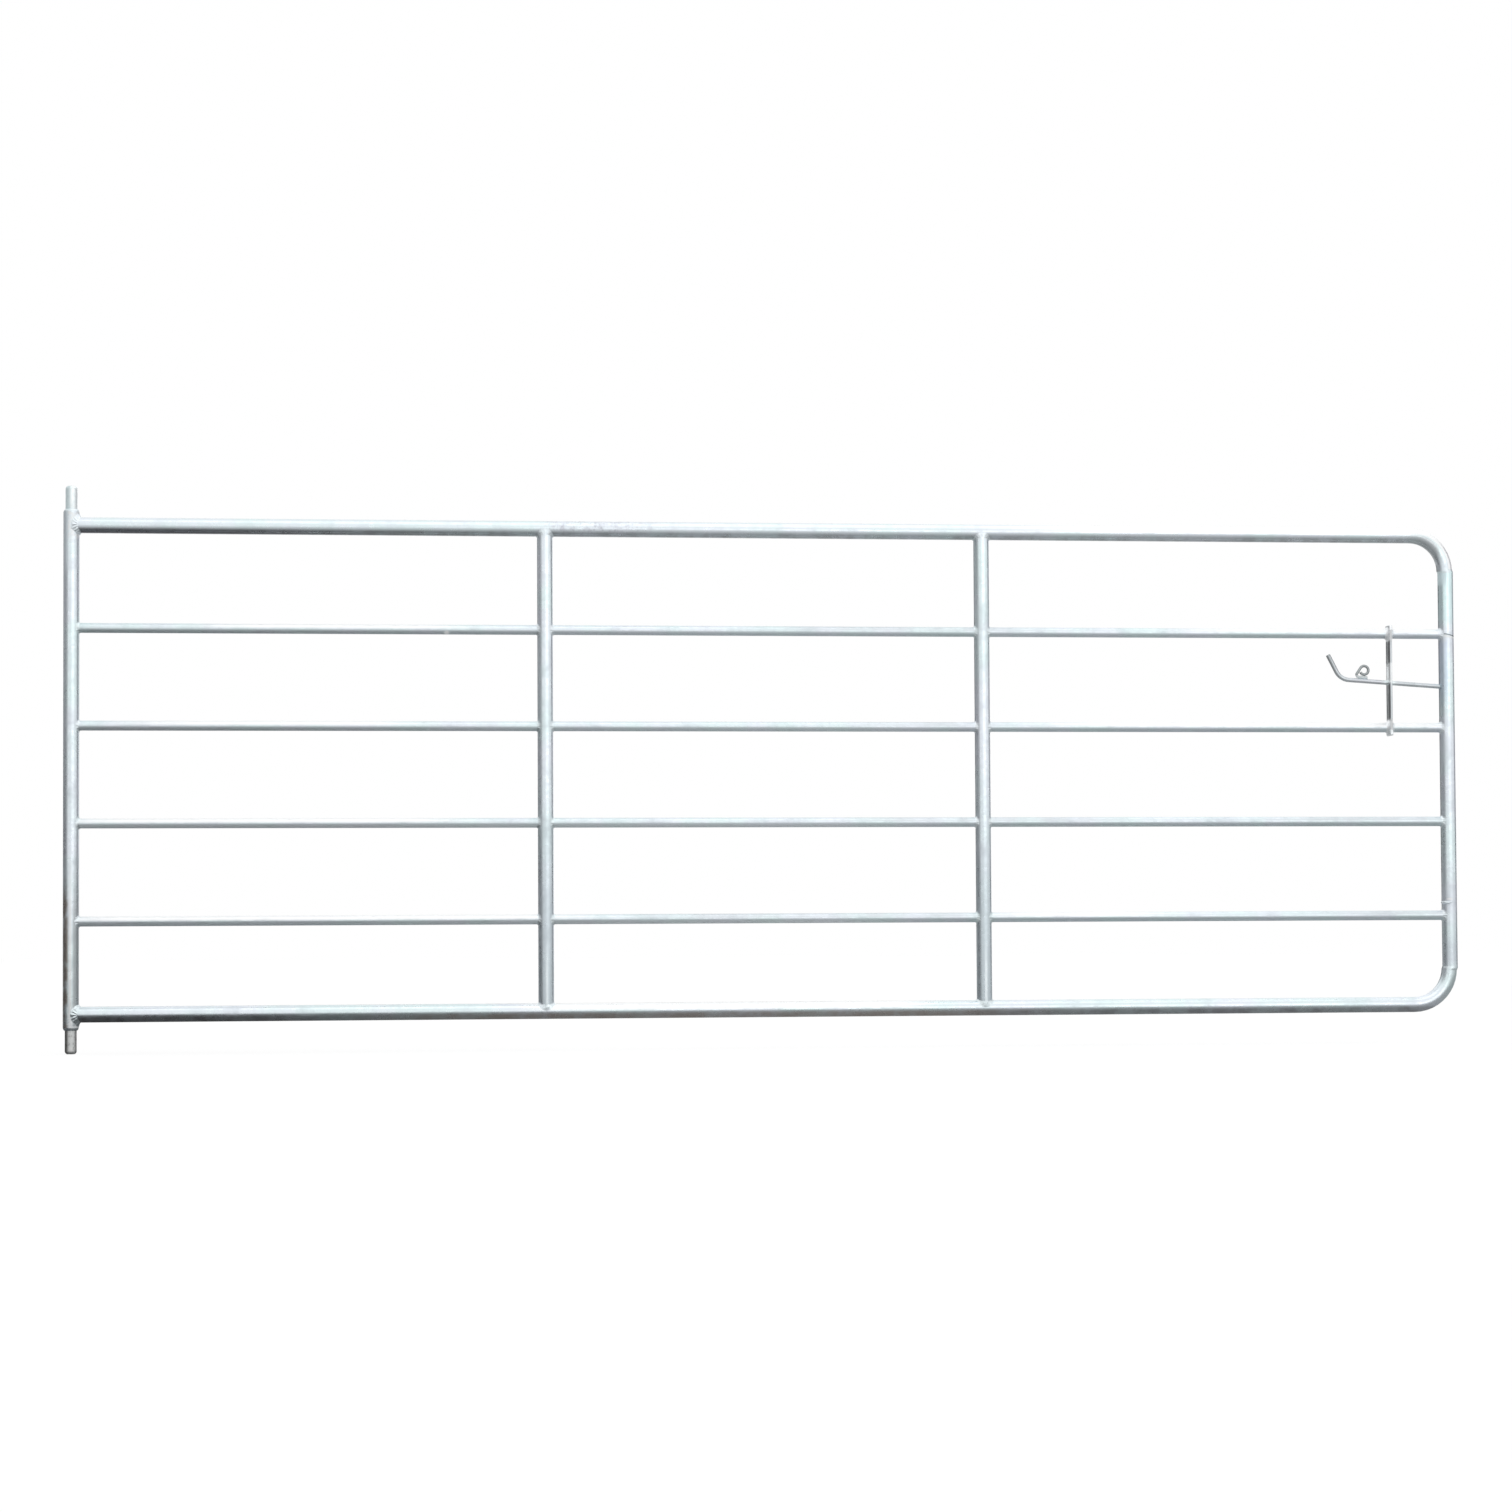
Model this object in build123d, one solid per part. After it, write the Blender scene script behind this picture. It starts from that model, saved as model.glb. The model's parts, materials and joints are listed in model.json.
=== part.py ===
from build123d import *
from math import atan2, cos, radians, sin, tan
import os

# A six-bar galvanised field gate that hangs on a pin at each end of its hanging stile.
# Millimetres. The hinge line is the Z axis, the closing stile stands along +X, and the
# front of the gate faces -Y. Z is 0 at the shoulder of the bottom hinge pin.

# Overall sizes
gate_width = 3050.0             # outside of the hanging stile to outside of the closing stile
rail_gap_1 = 220.0              # top rail to second rail, between centre lines
rail_gap_2 = 209.0
rail_gap_3 = 209.0
rail_gap_4 = 209.0
rail_gap_5 = 198.0              # fifth rail to bottom rail
stile_overhang = 28.0           # hanging stile past the centre lines of the top and bottom rails
left_upright_x = 1009.0         # from the hinge line
right_upright_x = 1967.0
corner_radius = 80.0            # centre line of the bends on the closing side
corner_turn = 90.0              # degrees
bend_set_in = 2.0               # bent ends inside the closing stile's line, which leaves a step at the seams

# Tubes
frame_od = 33.7                 # stiles, uprights, top and bottom rails
frame_wall = 3.2
hanging_wall = 4.0              # the hanging stile is the heavy grade of the same tube
rail_od = 21.3                  # the four rails between
rail_wall = 2.6
cope_gap = 0.2                  # between a fish-mouthed end and the tube that it sits on
rail_hole_clearance = 0.4       # around a rail where it runs through an upright
vent_diameter = 10.0            # holes that let the zinc in and out, hidden behind the joints

# Hinge pins
pin_diameter = 25.0
pin_length = 50.0               # shoulder to tip
pin_tip_round = 7.0
pin_land = 6.0                  # pin between the stile's end and the shoulder, under the weld
spigot_length = 80.0            # let into the stile
spigot_clearance = 0.1

# Slide bolt and its keeper
bolt_diameter = 10.0
bolt_clearance = 0.5
bolt_tip_chamfer = 1.5
bolt_tip_inset = 2.0            # tip inside the outer face of the closing stile when drawn
bolt_height_at_keeper = 100.0   # above the third rail's centre line
bolt_height_at_stile = 91.0     # the bolt slopes down to the closing stile
handle_turn = 59.0              # degrees that the handle is bent up
handle_bend_radius = 34.0
handle_length = 61.0            # from the corner of the bend to the tip
handle_tip_round = 2.0
handle_to_keeper = 111.0        # corner of the bend to the middle of the keeper
keeper_to_stile = 132.0         # middle of the keeper to the closing stile's centre line
keeper_thickness = 5.0          # flat bar, set edge-on
keeper_depth = 30.0
keeper_web = 8.0                # keeper in front of the rails
keeper_lip = 6.5                # keeper past its notches, above and below
keeper_notch_gap = 0.2
keeper_edge_round = 1.0
keeper_slot_room = 4.0          # slot above the padlock eye, which goes through it as the bolt is shot

# Padlock eye
eye_rod = 6.0
eye_radius = 9.5                # centre line of the ring
eye_to_keeper = 58.0            # middle of the ring to the middle of the keeper
eye_slope = 60.0                # degrees, the side that climbs from the foot to the ring
eye_hairpin_radius = 5.0
eye_foot_past_ring = 8.0        # foot to the closing side of the ring's middle
eye_ring_turn = 299.0           # degrees that the rod is bent round the ring, until its end all but meets the side
eye_seat_gap = 0.3              # foot above the bolt, filled by the weld
eye_ring_gap = 0.2              # ring above its own foot

# Welds
weld_leg = 3.0                  # fillets round the tube joints and the keeper
butt_weld_height = 1.2
butt_weld_width = 7.0
eye_weld_leg = 1.8
pin_weld_margin = 0.5           # bead kept back from the pin's shoulder and the stile's edge

# Levels and lines worked out from the sizes above
frame_radius = frame_od / 2
rail_radius = rail_od / 2
bolt_radius = bolt_diameter / 2
closing_x = gate_width - frame_od
bottom_rail_z = pin_land + stile_overhang
fifth_rail_z = bottom_rail_z + rail_gap_5
fourth_rail_z = fifth_rail_z + rail_gap_4
third_rail_z = fourth_rail_z + rail_gap_3
second_rail_z = third_rail_z + rail_gap_2
top_rail_z = second_rail_z + rail_gap_1
thin_rail_levels = {
    "second_rail": second_rail_z,
    "third_rail": third_rail_z,
    "fourth_rail": fourth_rail_z,
    "fifth_rail": fifth_rail_z,
}
hanging_line = ((0, 0, pin_land), (0, 0, top_rail_z + stile_overhang))
closing_line = ((closing_x, 0, bottom_rail_z + corner_radius), (closing_x, 0, top_rail_z - corner_radius))
top_line = ((0, 0, top_rail_z), (closing_x, 0, top_rail_z))
bottom_line = ((0, 0, bottom_rail_z), (closing_x, 0, bottom_rail_z))
upright_places = {"left_upright": left_upright_x, "right_upright": right_upright_x}

# The bolt's own plane: x runs along the bolt to its tip, y is up, and 0 is in the middle of the keeper
keeper_x = closing_x - keeper_to_stile
bolt_fall = atan2(bolt_height_at_keeper - bolt_height_at_stile, keeper_to_stile)
bolt_plane = Plane(
    origin=(keeper_x, 0, third_rail_z + bolt_height_at_keeper),
    x_dir=(cos(bolt_fall), 0, -sin(bolt_fall)),
    z_dir=(0, -1, 0),
)
bolt_tip = (keeper_to_stile + frame_radius) / cos(bolt_fall) - bolt_tip_inset

# Levels of the padlock eye above the bolt's axis, and the keeper's slot that the bolt and the eye go through
foot_up = bolt_radius + eye_seat_gap + eye_rod / 2
ring_up = foot_up + eye_rod + eye_ring_gap + eye_radius
bolt_hole_radius = bolt_radius + bolt_clearance
slot_top = ring_up + eye_radius + eye_rod / 2 + keeper_slot_room
slot_rise = slot_top - bolt_hole_radius


def bar(radius, start, end):
    """Solid round bar from one point to another."""
    along = Vector(*end) - Vector(*start)
    return Solid.make_cylinder(radius, along.length, Plane(origin=start, z_dir=along))


def tube(od, wall, start, end):
    """Straight round tube from one point to another."""
    return bar(od / 2, start, end) - bar(od / 2 - wall, start, end)


def rod(radius, path):
    """Round rod bent along a path."""
    return sweep(Plane(origin=path @ 0, z_dir=path % 0) * Circle(radius), path=path)


def bolt_point(along, up):
    """Point in the bolt's own plane, as a place in the gate."""
    return tuple(bolt_plane.from_local_coords((along, up, 0)))


def saddle_weld(radius_a, line_a, radius_b, line_b, leg=weld_leg):
    """Fillet weld in the corner where round member b meets round member a."""
    grown = bar(radius_a + leg, *line_a) & bar(radius_b + leg, *line_b)
    return (grown - bar(radius_a, *line_a) - bar(radius_b, *line_b)).solids()


def save(node, *shapes):
    """Write one node, which may be a group of separate solids."""
    solids = [solid for shape in shapes for solid in shape.solids()]
    export_step(Compound(label=node, children=solids), f"parts/{node}.step")


os.makedirs("parts", exist_ok=True)

# Hanging stile: open at both ends for the hinge pins, with a vent behind every rail
hanging_stile = tube(frame_od, hanging_wall, *hanging_line)
for level in (bottom_rail_z, *thin_rail_levels.values(), top_rail_z):
    hanging_stile -= bar(vent_diameter / 2, (0, 0, level), (frame_od, 0, level))
save("hanging_stile", hanging_stile)

# Hinge pins: a spigot in the stile's bore, a land under the weld, then the bare journal
spigot_radius = frame_radius - hanging_wall - spigot_clearance
pin_welds = []
hinge_pins = {"bottom_hinge_pin": (hanging_line[0], -1), "top_hinge_pin": (hanging_line[1], 1)}
for name, (stile_end, way) in hinge_pins.items():
    end_z = stile_end[2]
    shoulder_z = end_z + way * pin_land
    tip_z = shoulder_z + way * pin_length
    spigot = bar(spigot_radius, (0, 0, end_z - way * spigot_length), (0, 0, shoulder_z))
    journal = bar(pin_diameter / 2, (0, 0, shoulder_z), (0, 0, tip_z))
    rims = journal.edges().filter_by(GeomType.CIRCLE).filter_by_position(Axis.Z, tip_z, tip_z)
    save(name, spigot + fillet(rims, pin_tip_round))
    section = make_face(Polyline(
        (spigot_radius, 0, end_z),
        (frame_radius - pin_weld_margin, 0, end_z),
        (spigot_radius, 0, shoulder_z - way * pin_weld_margin),
        close=True,
    ))
    pin_welds.append(revolve(section, Axis.Z))
save("hinge_pin_welds", *pin_welds)


def bent_path(level, way):
    """Centre line of the top or bottom rail: straight, then bent to meet the closing stile."""
    run = Line((0, 0), (closing_x - bend_set_in - corner_radius, 0))
    bend = JernArc(run @ 1, run % 1, corner_radius, corner_turn)
    return Plane(origin=(0, 0, level), x_dir=(1, 0, 0), z_dir=(0, -way, 0)) * (run + bend)


def cope(shape, *lines):
    """Fish-mouth a tube where it sits on the frame tubes that run along the given lines."""
    for line in lines:
        shape -= bar(frame_radius + cope_gap, *line)
    return shape


# Top and bottom rails: one tube each, fish-mouthed to the hanging stile and bent at the closing end
bent_rails = {"bottom_rail": (bottom_line, 1), "top_rail": (top_line, -1)}
corner_welds = []
for name, (line, way) in bent_rails.items():
    level = line[0][2]
    path = bent_path(level, way)
    solid_rail = rod(frame_radius, path)
    rail = cope(solid_rail - rod(frame_radius - frame_wall, path), hanging_line)
    for x in upright_places.values():
        rail -= bar(vent_diameter / 2, (x, 0, level), (x, 0, level + way * frame_od))
    save(name, rail)
    seam_z = level + way * corner_radius
    seam_line = ((closing_x, 0, seam_z - butt_weld_width / 2), (closing_x, 0, seam_z + butt_weld_width / 2))
    bead = bar(frame_radius + butt_weld_height, *seam_line)
    corner_welds.append(bead - solid_rail - bar(frame_radius, *closing_line))
save("corner_butt_welds", *corner_welds)

# Closing stile: drilled through for the slide bolt, with a vent behind each thin rail
bolt_hole_line = (bolt_point(keeper_thickness, 0), bolt_point(bolt_tip + frame_od, 0))
closing_stile = tube(frame_od, frame_wall, *closing_line) - bar(bolt_hole_radius, *bolt_hole_line)
for level in thin_rail_levels.values():
    closing_stile -= bar(vent_diameter / 2, (closing_x - frame_od, 0, level), (closing_x, 0, level))
save("closing_stile", closing_stile)

# Thin rails: straight through both uprights, fish-mouthed to the stile at each end
hanging_welds = []
closing_welds = []
for line in (bottom_line, top_line):
    hanging_welds += saddle_weld(frame_radius, hanging_line, frame_radius, line)
for name, level in thin_rail_levels.items():
    line = ((0, 0, level), (closing_x, 0, level))
    save(name, cope(tube(rail_od, rail_wall, *line), hanging_line, closing_line))
    hanging_welds += saddle_weld(frame_radius, hanging_line, rail_radius, line)
    closing_welds += saddle_weld(frame_radius, closing_line, rail_radius, line)
save("hanging_stile_welds", *hanging_welds)
save("closing_stile_welds", *closing_welds)

# Uprights: fish-mouthed between the top and bottom rails, with a hole for each thin rail
for name, x in upright_places.items():
    line = ((x, 0, bottom_rail_z), (x, 0, top_rail_z))
    upright = cope(tube(frame_od, frame_wall, *line), bottom_line, top_line)
    welds = []
    for rail_line in (bottom_line, top_line):
        welds += saddle_weld(frame_radius, rail_line, frame_radius, line)
    for level in thin_rail_levels.values():
        through = ((x - frame_od, 0, level), (x + frame_od, 0, level))
        upright -= bar(rail_radius + rail_hole_clearance, *through)
        welds += saddle_weld(frame_radius, line, rail_radius, through)
    save(name, upright)
    save(f"{name}_welds", *welds)

# Bolt keeper: a flat bar set edge-on, notched from behind over two rails, with a slot for the bolt and its eye
notch_radius = rail_radius + keeper_notch_gap
keeper_front = rail_radius + keeper_web
keeper_back = keeper_depth - keeper_front
slot_plane = Plane(
    origin=bolt_point(-keeper_thickness, slot_rise / 2),
    x_dir=bolt_plane.y_dir,
    z_dir=bolt_plane.x_dir,
)
bolt_slot = extrude(slot_plane * SlotCenterToCenter(slot_rise, 2 * bolt_hole_radius), 2 * keeper_thickness)
keeper_low = third_rail_z - notch_radius - keeper_lip
keeper_high = second_rail_z + notch_radius + keeper_lip
keeper_place = Pos(keeper_x, (keeper_back - keeper_front) / 2, (keeper_low + keeper_high) / 2)
flat_bar = keeper_place * Box(keeper_thickness, keeper_depth, keeper_high - keeper_low)
weld_reach = keeper_place * Box(keeper_thickness + 2 * weld_leg, keeper_depth, keeper_high - keeper_low)
keeper = fillet(flat_bar.edges().filter_by(Axis.Z), keeper_edge_round) - bolt_slot
keeper_welds = []
for level in (second_rail_z, third_rail_z):
    line = ((keeper_x - frame_od, 0, level), (keeper_x + frame_od, 0, level))
    keeper -= bar(notch_radius, *line)
    mouth = Box(2 * keeper_thickness, 2 * keeper_back, 2 * notch_radius)
    keeper -= Pos(keeper_x, keeper_back, level) * mouth
    bead = weld_reach & bar(rail_radius + weld_leg, *line)
    keeper_welds.append(bead - flat_bar - bar(rail_radius, *line))
save("bolt_keeper", keeper)
save("keeper_welds", *keeper_welds)

# Slide bolt: a round bar, chamfered at the tip, with its other end bent up as a handle
bend_set_back = handle_bend_radius * tan(radians(handle_turn / 2))
shank = Line((bolt_tip, 0), (bend_set_back - handle_to_keeper, 0))
bend = JernArc(shank @ 1, shank % 1, handle_bend_radius, -handle_turn)
handle = Line(bend @ 1, (bend @ 1) + (bend % 1) * (handle_length - bend_set_back))
slide_bolt = rod(bolt_radius, bolt_plane * (shank + bend + handle))
rims = slide_bolt.edges().filter_by(GeomType.CIRCLE)
slide_bolt = chamfer(rims.sort_by_distance(bolt_point(bolt_tip, 0))[0], bolt_tip_chamfer)
rims = slide_bolt.edges().filter_by(GeomType.CIRCLE)
slide_bolt = fillet(rims.sort_by_distance((bolt_plane * handle) @ 1)[0], handle_tip_round)
save("slide_bolt", slide_bolt)

# Padlock eye: a thin rod with a foot along the bolt, a hairpin, a climbing side and a ring over the foot
climb = radians(eye_slope)
hairpin_rise = foot_up + eye_hairpin_radius - ring_up
hairpin_to_ring = (eye_radius - eye_hairpin_radius - hairpin_rise * cos(climb)) / sin(climb)
climb_length = hairpin_to_ring * cos(climb) - hairpin_rise * sin(climb)
foot = Line((eye_foot_past_ring - eye_to_keeper, foot_up), (-hairpin_to_ring - eye_to_keeper, foot_up))
hairpin = JernArc(foot @ 1, foot % 1, eye_hairpin_radius, eye_slope - 180)
side = Line(hairpin @ 1, (hairpin @ 1) + (hairpin % 1) * climb_length)
ring = JernArc(side @ 1, side % 1, eye_radius, -eye_ring_turn)
save("padlock_eye", rod(eye_rod / 2, bolt_plane * (foot + hairpin + side + ring)))

# The weld that holds the eye's foot to the bolt
foot_line = [bolt_point(point.X, foot_up) for point in (foot @ 0, foot @ 1)]
under_foot = [bolt_point(point.X, 0) for point in (foot @ 0, foot @ 1)]
save("padlock_eye_weld", *saddle_weld(bolt_radius, under_foot, eye_rod / 2, foot_line, eye_weld_leg))
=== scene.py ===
import bpy
import json
import math
from collections import namedtuple
from mathutils import Matrix, Vector


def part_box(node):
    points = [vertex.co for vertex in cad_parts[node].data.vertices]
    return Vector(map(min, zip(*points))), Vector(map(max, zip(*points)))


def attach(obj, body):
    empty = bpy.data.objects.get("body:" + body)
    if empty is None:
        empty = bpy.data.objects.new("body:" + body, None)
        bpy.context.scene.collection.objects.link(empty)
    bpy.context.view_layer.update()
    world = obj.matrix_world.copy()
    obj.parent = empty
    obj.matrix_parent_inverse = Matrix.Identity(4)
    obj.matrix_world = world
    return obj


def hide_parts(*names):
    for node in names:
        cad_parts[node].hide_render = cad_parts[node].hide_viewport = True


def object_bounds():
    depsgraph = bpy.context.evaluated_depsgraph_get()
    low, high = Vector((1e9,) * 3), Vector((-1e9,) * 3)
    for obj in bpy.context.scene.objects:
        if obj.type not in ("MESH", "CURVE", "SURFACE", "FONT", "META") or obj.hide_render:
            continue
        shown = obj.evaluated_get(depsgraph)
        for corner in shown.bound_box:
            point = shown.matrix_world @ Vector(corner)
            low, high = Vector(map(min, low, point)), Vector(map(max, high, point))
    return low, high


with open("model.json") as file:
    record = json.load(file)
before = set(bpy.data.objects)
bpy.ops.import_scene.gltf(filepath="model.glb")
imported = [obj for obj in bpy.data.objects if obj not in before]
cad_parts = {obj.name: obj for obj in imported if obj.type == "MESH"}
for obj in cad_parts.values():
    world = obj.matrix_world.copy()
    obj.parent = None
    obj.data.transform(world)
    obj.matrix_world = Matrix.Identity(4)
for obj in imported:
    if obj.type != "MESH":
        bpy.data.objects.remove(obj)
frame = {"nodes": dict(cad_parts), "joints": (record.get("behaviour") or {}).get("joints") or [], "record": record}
cad_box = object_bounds()
nodes = frame["nodes"]
bpy.ops.object.select_all(action="DESELECT")

# The stiles and uprights: round steel tube, drawn up out of a bath of molten zinc with the whole gate.
# The zinc is pale and faintly spangled, clouded with blue and lavender, and drained down each in streaks.


class Wire:
    """One output of a shader node. Sums on wires add Math nodes, and node() adds any other kind."""

    def __init__(self, tree, socket=None):
        self.tree = tree
        self.socket = socket

    def node(self, kind, settings=None, inputs=None, output=0):
        made = self.tree.nodes.new(kind)
        for name, value in (settings or {}).items():
            setattr(made, name, value)
        for key, value in (inputs or {}).items():
            if isinstance(value, Wire):
                self.tree.links.new(value.socket, made.inputs[key])
            else:
                made.inputs[key].default_value = value
        return Wire(self.tree, made.outputs[output])

    def feed(self, shader, key):
        self.tree.links.new(self.socket, shader.inputs[key])

    def sum_of(self, operation, first, second):
        return self.node("ShaderNodeMath", {"operation": operation}, {0: first, 1: second})

    def __add__(self, other):
        return self.sum_of("ADD", self, other)

    def __radd__(self, other):
        return self.sum_of("ADD", other, self)

    def __sub__(self, other):
        return self.sum_of("SUBTRACT", self, other)

    def __rsub__(self, other):
        return self.sum_of("SUBTRACT", other, self)

    def __mul__(self, other):
        return self.sum_of("MULTIPLY", self, other)

    def __rmul__(self, other):
        return self.sum_of("MULTIPLY", other, self)

    def __abs__(self):
        return self.sum_of("ABSOLUTE", self, 0.0)

    def rises(self, low, high):
        """0 below low, 1 above high, and a smooth step from one to the other."""
        return self.node("ShaderNodeMapRange", {"interpolation_type": "SMOOTHSTEP"},
                         {"Value": self, "From Min": low, "From Max": high})

    def falls(self, low, high):
        """1 below low, 0 above high, and a smooth step from one to the other."""
        return 1 - self.rises(low, high)

    def near(self, level, inner, outer):
        """1 as far as inner from the level, to both sides, and 0 past outer."""
        return abs(self - level).falls(inner, outer)

    def colour_from(self, first, second):
        """The first colour where this wire is 0, the second where it is 1."""
        return self.node("ShaderNodeMix", {"data_type": "RGBA"}, {0: self, 6: first, 7: second}, 2)

    def along(self, axis):
        """The part of a place that lies along X, Y or Z."""
        return self.node("ShaderNodeSeparateXYZ", None, {"Vector": self}, axis)

    def distance_to(self, point):
        """How far a place lies from a point."""
        return self.node("ShaderNodeVectorMath", {"operation": "DISTANCE"}, {0: self, 1: point}, "Value")


def place_on(material):
    """The place of each point of a surface, in its object's own coordinates."""
    return Wire(material.node_tree).node("ShaderNodeTexCoord", None, None, "Object")


def cloud(place, per_metre, detail=3.0):
    """Noise, mostly between 0.3 and 0.7, with about so many clouds to the metre."""
    return place.node("ShaderNodeTexNoise", None, {"Vector": place, "Scale": per_metre, "Detail": detail})


# A mark on the zinc: where it lies, its colour, and how far it is a matt crust and no longer metal
Mark = namedtuple("Mark", ("where", "colour", "matt"), defaults=(0.0,))


def zinc_coat(name, blue, lavender, dull, drained, rough, marks=None):
    """Hot-dip zinc on steel: two tints, dull clouds, streaks the way it drained, spangle and specks.

    The marks are laid over it, one after another.
    """
    material = bpy.data.materials.new(name)
    material.use_nodes = True
    shader = material.node_tree.nodes["Principled BSDF"]
    place = place_on(material)
    streaked = place.node("ShaderNodeMapping", None, {"Vector": place, "Scale": drained})
    tint = cloud(place, 9.0).rises(0.36, 0.64)
    clouds = cloud(place, 24.0, 5.0).rises(0.45, 0.72)
    streaks = cloud(streaked, 70.0, 4.0).rises(0.42, 0.75)
    spangle = place.node("ShaderNodeTexVoronoi", None, {"Vector": place, "Scale": 140.0}, "Color")
    facet = place.node("ShaderNodeSeparateColor", None, {"Color": spangle})
    specks = cloud(place, 420.0, 2.0).rises(0.64, 0.72)
    zinc = tint.colour_from(blue, lavender)
    zinc = (0.18 * clouds + 0.12 * streaks + 0.12 * facet + 0.06 * specks).colour_from(zinc, dull)
    crust = 0.0
    for mark in marks(place) if marks else ():
        zinc = mark.where.colour_from(zinc, mark.colour)
        if mark.matt:
            crust = crust + mark.matt * mark.where
    zinc.feed(shader, "Base Color")
    (rough + 0.12 * clouds + 0.09 * facet + 0.5 * crust).feed(shader, "Roughness")
    shader.inputs["Metallic"].default_value = 1.0
    if crust:
        (1 - crust).feed(shader, "Metallic")
    height = 0.55 * cloud(streaked, 38.0, 2.0) + 0.30 * cloud(place, 130.0) + 0.05 * specks
    bump = place.node("ShaderNodeBump", None, {"Height": height, "Strength": 0.20, "Distance": 0.001})
    bump.feed(shader, "Normal")
    return material


def middle(node):
    low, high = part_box(node)
    return (low + high) / 2


def hanging_stile_marks(place):
    """Brown down its outer edge near the foot, partly a stain and partly painted shade, painted shade greyer on
    the inner side, and a painted highlight between.

    Round the welds at its two ends the zinc is whiter and rough, and near the head its outer edge is matt with
    painted light on it.
    """
    side, height = place.along("X"), place.along("Z")
    foot = height.falls(0.20, 0.42)
    # Painted shade: the inner side is greyer near the foot.
    inner_side_shade = 0.8 * foot * side.rises(0.0030, 0.0080)
    # Painted highlight: a bright stripe down the middle of the front near the foot.
    highlight_stripe = 0.8 * foot * side.near(0.0006, 0.0010, 0.0040)
    patchy = cloud(place, 30.0, 4.0).rises(0.30, 0.58)
    # A brown stain, darkened by painted shade on the outer edge.
    stain_and_shade = side.falls(-0.0070, -0.0015) * height.falls(0.27, 0.34) * patchy
    # Painted light: a pale matt band on the outer edge near the head.
    painted_light_edge = height.rises(0.96, 1.02) * side.rises(-0.0155, -0.0060) * side.falls(-0.0080, -0.0030)
    ends = height.rises(1.035, 1.060) + height.falls(0.035, 0.060)
    rough_white = ends * side.rises(-0.0090, -0.0030) * cloud(place, 120.0, 4.0).rises(0.40, 0.60)
    return (Mark(inner_side_shade, (0.44, 0.48, 0.49, 1)),
            Mark(highlight_stripe, (0.95, 0.96, 0.96, 1)),
            Mark(stain_and_shade, (0.40, 0.37, 0.34, 1)),
            Mark(painted_light_edge, (0.83, 0.92, 0.97, 1), 0.4),
            Mark(rough_white, (0.93, 0.96, 0.97, 1), 0.32))


def closing_stile_marks(place):
    """Bluer above the second rail, a ridge slanting round at it, drawn as a dark line of painted shade over a
    painted highlight, and a white ring above the fifth.

    The inner side of its head is matt white, by the weld. Painted shade, lavender, lies down its inner side by the
    bolt, and its foot is dull.
    """
    side, height = place.along("X") - middle("closing_stile").x, place.along("Z")
    bluer = 0.6 * height.rises(0.86, 0.90)
    # Painted shade: lavender down the inner side, by the bolt.
    shade_by_bolt = 0.55 * height.rises(0.68, 0.74) * height.falls(0.835, 0.850) * side.falls(-0.0050, 0.0030)
    head = height.rises(0.962, 0.976) * side.falls(-0.0060, -0.0010)
    foot = 0.6 * height.rises(0.117, 0.135) * height.falls(0.16, 0.22)
    slanting = height + 0.22 * side
    # Painted highlight and painted shade of a ridge slanting round the stile at the second rail.
    ridge_highlight = slanting.near(0.8528, 0.0012, 0.0034)
    ridge_shade = slanting.near(0.8570, 0.0003, 0.0021)
    ring = height.near(0.2680, 0.0010, 0.0030) * side.rises(-0.0120, -0.0060) * side.falls(-0.0020, 0.0040)
    return (Mark(bluer, (0.70, 0.91, 0.91, 1)),
            Mark(shade_by_bolt, (0.60, 0.70, 0.84, 1)),
            Mark(head, (0.80, 0.95, 0.98, 1), 0.4),
            Mark(foot, (0.66, 0.71, 0.77, 1)),
            Mark(ridge_highlight, (0.94, 0.97, 0.98, 1), 0.3),
            Mark(ridge_shade, (0.20, 0.24, 0.25, 1)),
            Mark(ring, (0.97, 0.98, 0.99, 1), 0.3))


def upright_marks(node):
    """Marks for one upright: duller and bluer towards its foot, with a painted highlight down the middle there."""

    def marks(place):
        side, height = place.along("X") - middle(node).x, place.along("Z")
        dull_foot = 0.85 * height.falls(0.24, 0.52)
        # Painted highlight: a bright stripe down the middle of the front near the foot.
        highlight_stripe = 0.8 * side.near(0.0010, 0.0010, 0.0040) * height.falls(0.10, 0.20)
        return (Mark(dull_foot, (0.64, 0.715, 0.76, 1)),
                Mark(highlight_stripe, (0.90, 0.97, 1.0, 1)))

    return marks


pale_blue, pale_lavender, dull_grey = (0.77, 0.89, 0.90, 1), (0.82, 0.87, 0.93, 1), (0.56, 0.62, 0.66, 1)
drained_down, drained_along = (1.0, 1.0, 0.12), (0.12, 1.0, 1.0)
frame_rough = 0.26
for node, marks in (("hanging_stile", hanging_stile_marks),
                    ("closing_stile", closing_stile_marks),
                    ("left_upright", upright_marks("left_upright")),
                    ("right_upright", upright_marks("right_upright"))):
    nodes[node].material_slots[0].material = zinc_coat(
        node + "_zinc", pale_blue, pale_lavender, dull_grey, drained_down, frame_rough, marks)

# The rails: two of the same tube, each ending in a bend at the closing stile, and four thinner ones between.
# Those run through holes in the uprights. The zinc drained along each rail, and is duller on the thin ones.


def radius(tube):
    low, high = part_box(tube)
    return (high.y - low.y) / 2


frame_radius = radius("hanging_stile")
top_rail_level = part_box("top_rail")[1].z - frame_radius
bottom_rail_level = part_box("bottom_rail")[0].z + frame_radius
bend_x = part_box("top_rail")[1].x - frame_radius
bend_radius = 0.080
bend_start = bend_x - bend_radius
bend_middle = (bend_start, 0, top_rail_level - bend_radius)
# The white of the painted highlights along the tops of the frame rails.
highlight_white = (0.97, 0.985, 0.99, 1)


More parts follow.
